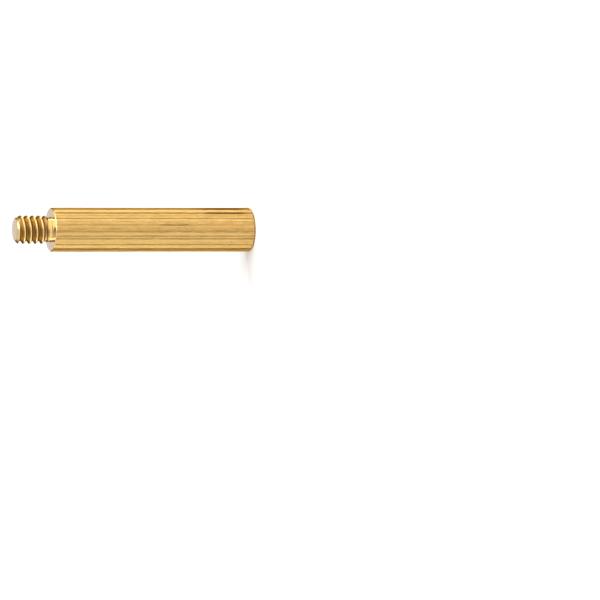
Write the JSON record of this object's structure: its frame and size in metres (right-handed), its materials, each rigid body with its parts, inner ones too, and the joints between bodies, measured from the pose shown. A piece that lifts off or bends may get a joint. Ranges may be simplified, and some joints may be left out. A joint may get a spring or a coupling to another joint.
{
  "type": "knurled round standoff",
  "caption": "Round brass spacer with a straight-knurled barrel, a threaded stud at one end and a tapped hole at the other, for holding boards or panels apart.",
  "frame": {"origin": "centre of the flat end with the tapped hole, where the standoff stands", "axes": "+Z along the standoff's axis, from the tapped end up to the tip of the stud; a groove of the knurl lies on +X"},
  "size_m": [0.0042, 0.0042, 0.0236],
  "materials": {
    "brass": "drawn satin barrel with bright turned ends and thread"
  },
  "bodies": {
    "root": {"standoff": "brass"}
  },
  "joints": []
}
